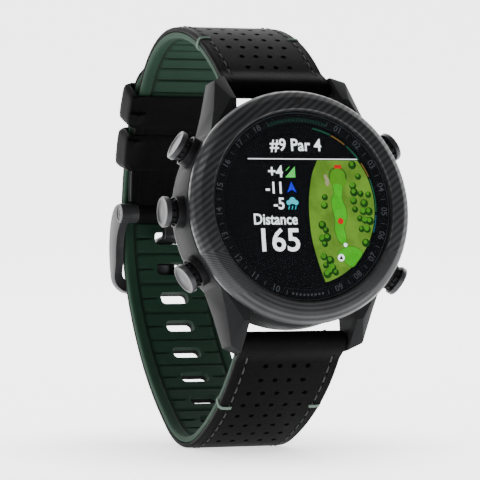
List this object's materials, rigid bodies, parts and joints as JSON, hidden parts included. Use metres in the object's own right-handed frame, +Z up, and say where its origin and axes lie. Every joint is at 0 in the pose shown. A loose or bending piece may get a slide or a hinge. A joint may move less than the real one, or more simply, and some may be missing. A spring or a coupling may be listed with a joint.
{
  "type": "golf gps watch",
  "caption": "Round golf watch with a lit course display, numbered ring, side pushers and a two-layer leather strap buckled into a loop.",
  "frame": {"origin": "middle of the footprint box, on the surface the strap loop stands on", "axes": "+Z up, towards the top of the strap loop; +X towards the 3 o'clock side; the dial faces -Y, leaning back 9.5 degrees"},
  "size_m": [0.051, 0.0814, 0.086],
  "materials": {
    "carbon_bezel": "forged carbon fibre composite with flowing grey bands, satin",
    "black_metal": "black coated steel, satin",
    "case_metal": "dark grey coated titanium, fine satin",
    "bright_metal": "polished and brushed steel",
    "cover_glass": "anti-reflection coated cover glass",
    "display": "lit colour display under glass",
    "dial_print": "black ring with white printed numbers",
    "black_leather": "fine grained black leather with punched holes",
    "green_lining": "matte dark green lining with cross grooves",
    "rubber_seal": "matte black seal",
    "black_plastic": "glass filled black plastic",
    "circuit_board": "solder mask",
    "battery_foil": "foil pouch",
    "gold_contact": "gold plated",
    "copper_trace": "copper antenna track",
    "dark_steel": "bare steel",
    "cover_metal": "black back plate, fine brushed"
  },
  "bodies": {
    "watch": {"antenna_ring": "copper_trace", "back_cover": "cover_metal", "back_gasket": "rubber_seal", "back_screws": "dark_steel", "battery": "battery_foil", "bezel": "carbon_bezel", "bezel_marker": "black_metal", "buckle_pin": "bright_metal", "button_o_rings": "rubber_seal", "buzzer": "black_plastic", "case_middle": "case_metal", "charge_contacts": "gold_contact", "contact_block": "black_plastic", "display_panel": "display", "display_tray": "black_plastic", "fixed_keeper": "black_leather", "hour_ring": "dial_print", "inner_chassis": "black_plastic", "lens": "cover_glass", "lens_gasket": "rubber_seal", "lower_leather": "black_leather", "lower_left_collar": "black_metal", "lower_left_switch": "black_plastic", "lower_lining": "green_lining", "lower_lug_pin": "dark_steel", "lower_right_collar": "black_metal", "lower_right_switch": "black_plastic", "main_board": "circuit_board", "middle_left_collar": "black_metal", "middle_left_switch": "black_plastic", "motor_housing": "bright_metal", "upper_leather": "black_leather", "upper_left_collar": "black_metal", "upper_left_switch": "black_plastic", "upper_lining": "green_lining", "upper_lug_pin": "dark_steel", "upper_right_collar": "black_metal", "upper_right_switch": "black_plastic"},
    "upper_left_push": {"upper_left_button": "bright_metal", "upper_left_clip": "dark_steel"},
    "middle_left_push": {"middle_left_button": "bright_metal", "middle_left_clip": "dark_steel"},
    "lower_left_push": {"lower_left_button": "bright_metal", "lower_left_clip": "dark_steel"},
    "upper_right_push": {"upper_right_button": "bright_metal", "upper_right_clip": "dark_steel"},
    "lower_right_push": {"lower_right_button": "bright_metal", "lower_right_clip": "dark_steel"},
    "rotor": {"motor_weight": "dark_steel"},
    "upper_latch": {"upper_pin_latch": "bright_metal"},
    "lower_latch": {"lower_pin_latch": "bright_metal"},
    "frame": {"buckle_frame": "bright_metal"},
    "tang": {"buckle_tang": "bright_metal"},
    "keeper": {"loose_keeper": "black_leather"}
  },
  "joints": [
    {"name": "upper_left_press", "type": "slide", "parent": "watch", "child": "upper_left_push", "axis": [0.866, -0.0825, -0.4931], "range_m": [0, 0.0007], "stiffness_N_per_m": 1500, "springref_m": -0.0002},
    {"name": "middle_left_press", "type": "slide", "parent": "watch", "child": "middle_left_push", "axis": [1, 0, 0], "range_m": [0, 0.0007], "stiffness_N_per_m": 1500, "springref_m": -0.0002},
    {"name": "lower_left_press", "type": "slide", "parent": "watch", "child": "lower_left_push", "axis": [0.866, 0.0825, 0.4931], "range_m": [0, 0.0007], "stiffness_N_per_m": 1500, "springref_m": -0.0002},
    {"name": "upper_right_press", "type": "slide", "parent": "watch", "child": "upper_right_push", "axis": [-0.866, -0.0825, -0.4931], "range_m": [0, 0.0007], "stiffness_N_per_m": 1500, "springref_m": -0.0002},
    {"name": "lower_right_press", "type": "slide", "parent": "watch", "child": "lower_right_push", "axis": [-0.848, 0.0875, 0.5227], "range_m": [0, 0.0007], "stiffness_N_per_m": 1500, "springref_m": -0.0002},
    {"name": "motor_spin", "type": "hinge", "parent": "watch", "child": "rotor", "pos_m": [0.00419, -0.03159, 0.03393], "axis": [1, 0, 0], "continuous": true},
    {"name": "upper_latch_slide", "type": "slide", "parent": "watch", "child": "upper_latch", "axis": [-1, 0, 0], "range_m": [0, 0.0014], "stiffness_N_per_m": 500, "springref_m": -0.0004},
    {"name": "lower_latch_slide", "type": "slide", "parent": "watch", "child": "lower_latch", "axis": [-1, 0, 0], "range_m": [0, 0.0014], "stiffness_N_per_m": 500, "springref_m": -0.0004},
    {"name": "frame_hinge", "type": "hinge", "parent": "watch", "child": "frame", "pos_m": [0.00109, 0.03339, 0.04778], "axis": [1, 0, 0], "range_deg": [0, 5]},
    {"name": "tang_hinge", "type": "hinge", "parent": "frame", "child": "tang", "pos_m": [0.00109, 0.03339, 0.04778], "axis": [1, 0, 0], "range_deg": [0, 8]},
    {"name": "keeper_slide", "type": "hinge", "parent": "watch", "child": "keeper", "pos_m": [0.00109, -0.0216, 0.04903], "axis": [1, 0, 0], "range_deg": [-0.83, 1.56]}
  ]
}
